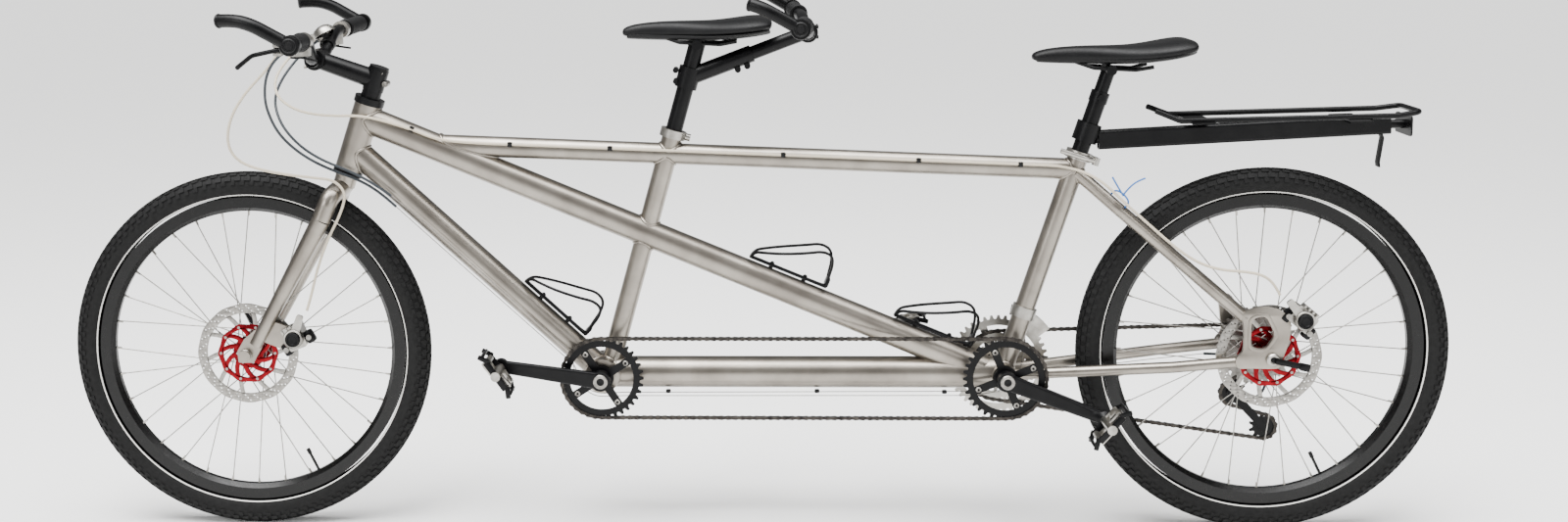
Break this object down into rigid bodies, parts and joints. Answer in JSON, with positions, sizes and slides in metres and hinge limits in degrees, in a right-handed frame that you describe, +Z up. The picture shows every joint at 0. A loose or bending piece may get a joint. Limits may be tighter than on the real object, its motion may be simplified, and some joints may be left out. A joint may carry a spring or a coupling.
{
  "type": "tandem bicycle",
  "caption": "Long two-rider bicycle with a straight silver tube frame, fat road tyres, disc brakes, crossed drive on both sides and a rear rack.",
  "frame": {"origin": "on the ground in the middle plane, midway between the two axles", "axes": "+X backwards, towards the rear wheel; +Y to the rider's right; +Z up"},
  "size_m": [2.4888, 0.6002, 0.9835],
  "materials": {
    "frame_aluminium": "satin, brushed and clear coated",
    "black_alloy": "satin black anodised",
    "gloss_black_alloy": "gloss black",
    "bare_alloy": "satin",
    "red_alloy": "bright red anodised",
    "stainless": "ground",
    "chain_steel": "dark, oiled",
    "tyre_rubber": "matte with a pale reflecting stripe",
    "grip_rubber": "matte ribbed",
    "saddle_cover": "matte synthetic leather",
    "black_plastic": "matte",
    "light_housing": "smooth pale beige",
    "dark_housing": "smooth dark grey"
  },
  "bodies": {
    "frame": {"bearing_cups": "black_alloy", "boom_tube": "frame_aluminium", "bottle_cages": "black_alloy", "diagonal_tube": "frame_aluminium", "down_tube": "frame_aluminium", "drive_chain": "chain_steel", "dropouts": "frame_aluminium", "frame_cables": "light_housing", "frame_shells": "frame_aluminium", "front_derailleur": "bare_alloy", "rear_caliper": "bare_alloy", "rear_derailleur": "black_alloy", "rear_stays": "frame_aluminium", "seat_collars": "bare_alloy", "timing_chain": "chain_steel", "top_tube": "frame_aluminium"},
    "steering": {"fork": "frame_aluminium", "stem": "black_alloy", "handlebar": "black_alloy", "captain_grips": "grip_rubber", "left_lever_housing": "bare_alloy", "right_lever_housing": "bare_alloy", "front_caliper": "bare_alloy", "front_brake_cable": "light_housing", "steering_cables": "dark_housing"},
    "front_wheel": {"front_tyre": "tyre_rubber", "front_rim": "gloss_black_alloy", "front_spokes": "stainless", "front_hub": "red_alloy", "front_rotor": "stainless"},
    "rear_wheel": {"rear_tyre": "tyre_rubber", "rear_rim": "gloss_black_alloy", "rear_spokes": "stainless", "rear_hub": "red_alloy", "rear_rotor": "stainless"},
    "cassette": {"cassette": "stainless"},
    "captain_crank": {"captain_crankset": "black_alloy"},
    "stoker_crank": {"stoker_crankset": "black_alloy"},
    "captain_left_pedal": {"captain_left_pedal": "bare_alloy"},
    "captain_right_pedal": {"captain_right_pedal": "bare_alloy"},
    "stoker_left_pedal": {"stoker_left_pedal": "bare_alloy"},
    "stoker_right_pedal": {"stoker_right_pedal": "bare_alloy"},
    "upper_pulley": {"upper_pulley": "black_plastic"},
    "lower_pulley": {"lower_pulley": "black_plastic"},
    "left_brake_lever": {"left_brake_lever": "black_alloy"},
    "right_brake_lever": {"right_brake_lever": "black_alloy"},
    "left_shift_lever": {"left_shift_lever": "black_plastic"},
    "right_shift_lever": {"right_shift_lever": "black_plastic"},
    "front_caliper_arm": {"front_caliper_arm": "bare_alloy"},
    "rear_caliper_arm": {"rear_caliper_arm": "bare_alloy"},
    "captain_post": {"captain_seat_post": "black_alloy", "captain_saddle": "saddle_cover", "stoker_stem": "black_alloy"},
    "stoker_bar": {"stoker_handlebar": "black_alloy", "stoker_grips": "grip_rubber"},
    "stoker_post": {"stoker_seat_post": "black_alloy", "rack": "black_alloy"},
    "suspension_head": {"suspension_post": "black_alloy", "stoker_saddle": "saddle_cover"},
    "release_lever": {"seat_release_lever": "bare_alloy"}
  },
  "joints": [
    {"name": "steering_turn", "type": "hinge", "parent": "frame", "child": "steering", "pos_m": [-0.708, 0, 0.722], "axis": [0.3173, 0, 0.9483], "range_deg": [-60, 60], "deforming": ["steering_cables"]},
    {"name": "front_wheel_spin", "type": "hinge", "parent": "steering", "child": "front_wheel", "pos_m": [-0.915, 0, 0.3295], "axis": [0, -1, 0], "continuous": true},
    {"name": "rear_wheel_spin", "type": "hinge", "parent": "frame", "child": "rear_wheel", "pos_m": [0.915, 0, 0.3295], "axis": [0, -1, 0], "continuous": true},
    {"name": "stoker_crank_turn", "type": "hinge", "parent": "frame", "child": "stoker_crank", "pos_m": [0.4549, 0, 0.286], "axis": [0, -1, 0], "continuous": true},
    {"name": "captain_crank_turn", "type": "hinge", "parent": "frame", "child": "captain_crank", "pos_m": [-0.269, 0, 0.286], "axis": [0, -1, 0], "continuous": true},
    {"name": "cassette_spin", "type": "hinge", "parent": "frame", "child": "cassette", "pos_m": [0.915, 0, 0.3295], "axis": [0, -1, 0], "continuous": true},
    {"name": "upper_pulley_spin", "type": "hinge", "parent": "frame", "child": "upper_pulley", "pos_m": [0.88, 0.048, 0.235], "axis": [0, -1, 0], "continuous": true},
    {"name": "lower_pulley_spin", "type": "hinge", "parent": "frame", "child": "lower_pulley", "pos_m": [0.937, 0.048, 0.172], "axis": [0, -1, 0], "continuous": true},
    {"name": "captain_left_pedal_spin", "type": "hinge", "parent": "captain_crank", "child": "captain_left_pedal", "pos_m": [-0.44643, -0.126, 0.31633], "axis": [0, -1, 0], "continuous": true},
    {"name": "captain_right_pedal_spin", "type": "hinge", "parent": "captain_crank", "child": "captain_right_pedal", "pos_m": [-0.09157, 0.126, 0.25567], "axis": [0, -1, 0], "continuous": true},
    {"name": "stoker_left_pedal_spin", "type": "hinge", "parent": "stoker_crank", "child": "stoker_left_pedal", "pos_m": [0.62372, -0.126, 0.22355], "axis": [0, -1, 0], "continuous": true},
    {"name": "stoker_right_pedal_spin", "type": "hinge", "parent": "stoker_crank", "child": "stoker_right_pedal", "pos_m": [0.28608, 0.126, 0.34845], "axis": [0, -1, 0], "continuous": true},
    {"name": "left_brake_pull", "type": "hinge", "parent": "steering", "child": "left_brake_lever", "pos_m": [-0.81139, -0.15, 0.8922], "axis": [0, 0, 1], "range_deg": [0, 14], "stiffness_Nm_per_rad": 0.6},
    {"name": "right_brake_pull", "type": "hinge", "parent": "steering", "child": "right_brake_lever", "pos_m": [-0.81139, 0.15, 0.8922], "axis": [0, 0, -1], "range_deg": [0, 14], "stiffness_Nm_per_rad": 0.6},
    {"name": "left_shift_push", "type": "hinge", "parent": "steering", "child": "left_shift_lever", "pos_m": [-0.78139, -0.128, 0.8802], "axis": [0, 0, 1], "range_deg": [0, 25], "stiffness_Nm_per_rad": 0.1},
    {"name": "right_shift_push", "type": "hinge", "parent": "steering", "child": "right_shift_lever", "pos_m": [-0.78139, 0.128, 0.8802], "axis": [0, 0, -1], "range_deg": [0, 25], "stiffness_Nm_per_rad": 0.1},
    {"name": "front_caliper_swing", "type": "hinge", "parent": "steering", "child": "front_caliper_arm", "pos_m": [-0.823, -0.07, 0.3635], "axis": [0, 1, 0], "range_deg": [0, 14]},
    {"name": "rear_caliper_swing", "type": "hinge", "parent": "frame", "child": "rear_caliper_arm", "pos_m": [0.965, -0.088, 0.4015], "axis": [0, -1, 0], "range_deg": [0, 14]},
    {"name": "captain_post_height", "type": "slide", "parent": "frame", "child": "captain_post", "axis": [0.2672, 0, 0.9636], "range_m": [-0.05, 0.06]},
    {"name": "stoker_stem_reach", "type": "slide", "parent": "captain_post", "child": "stoker_bar", "axis": [0.9361, 0, 0.3518], "range_m": [-0.008, 0.05]},
    {"name": "stoker_post_height", "type": "slide", "parent": "frame", "child": "stoker_post", "axis": [0.3123, 0, 0.95], "range_m": [-0.012, 0.06]},
    {"name": "suspension_stroke", "type": "slide", "parent": "stoker_post", "child": "suspension_head", "axis": [0.3123, 0, 0.95], "range_m": [-0.03, 0], "stiffness_N_per_m": 16000, "springref_m": 0.004},
    {"name": "release_lever_swing", "type": "hinge", "parent": "frame", "child": "release_lever", "pos_m": [0.6119, -0.024, 0.67387], "axis": [0.3123, 0, 0.95], "range_deg": [0, 140]}
  ],
  "couplings": [
    {"joint": "captain_crank_turn", "follows": "stoker_crank_turn", "ratio": 1},
    {"joint": "cassette_spin", "follows": "stoker_crank_turn", "ratio": 1.8824},
    {"joint": "lower_pulley_spin", "follows": "stoker_crank_turn", "ratio": 2.9091},
    {"joint": "upper_pulley_spin", "follows": "stoker_crank_turn", "ratio": -2.9091},
    {"joint": "front_caliper_swing", "follows": "left_brake_pull", "ratio": 1},
    {"joint": "rear_caliper_swing", "follows": "right_brake_pull", "ratio": 1}
  ]
}
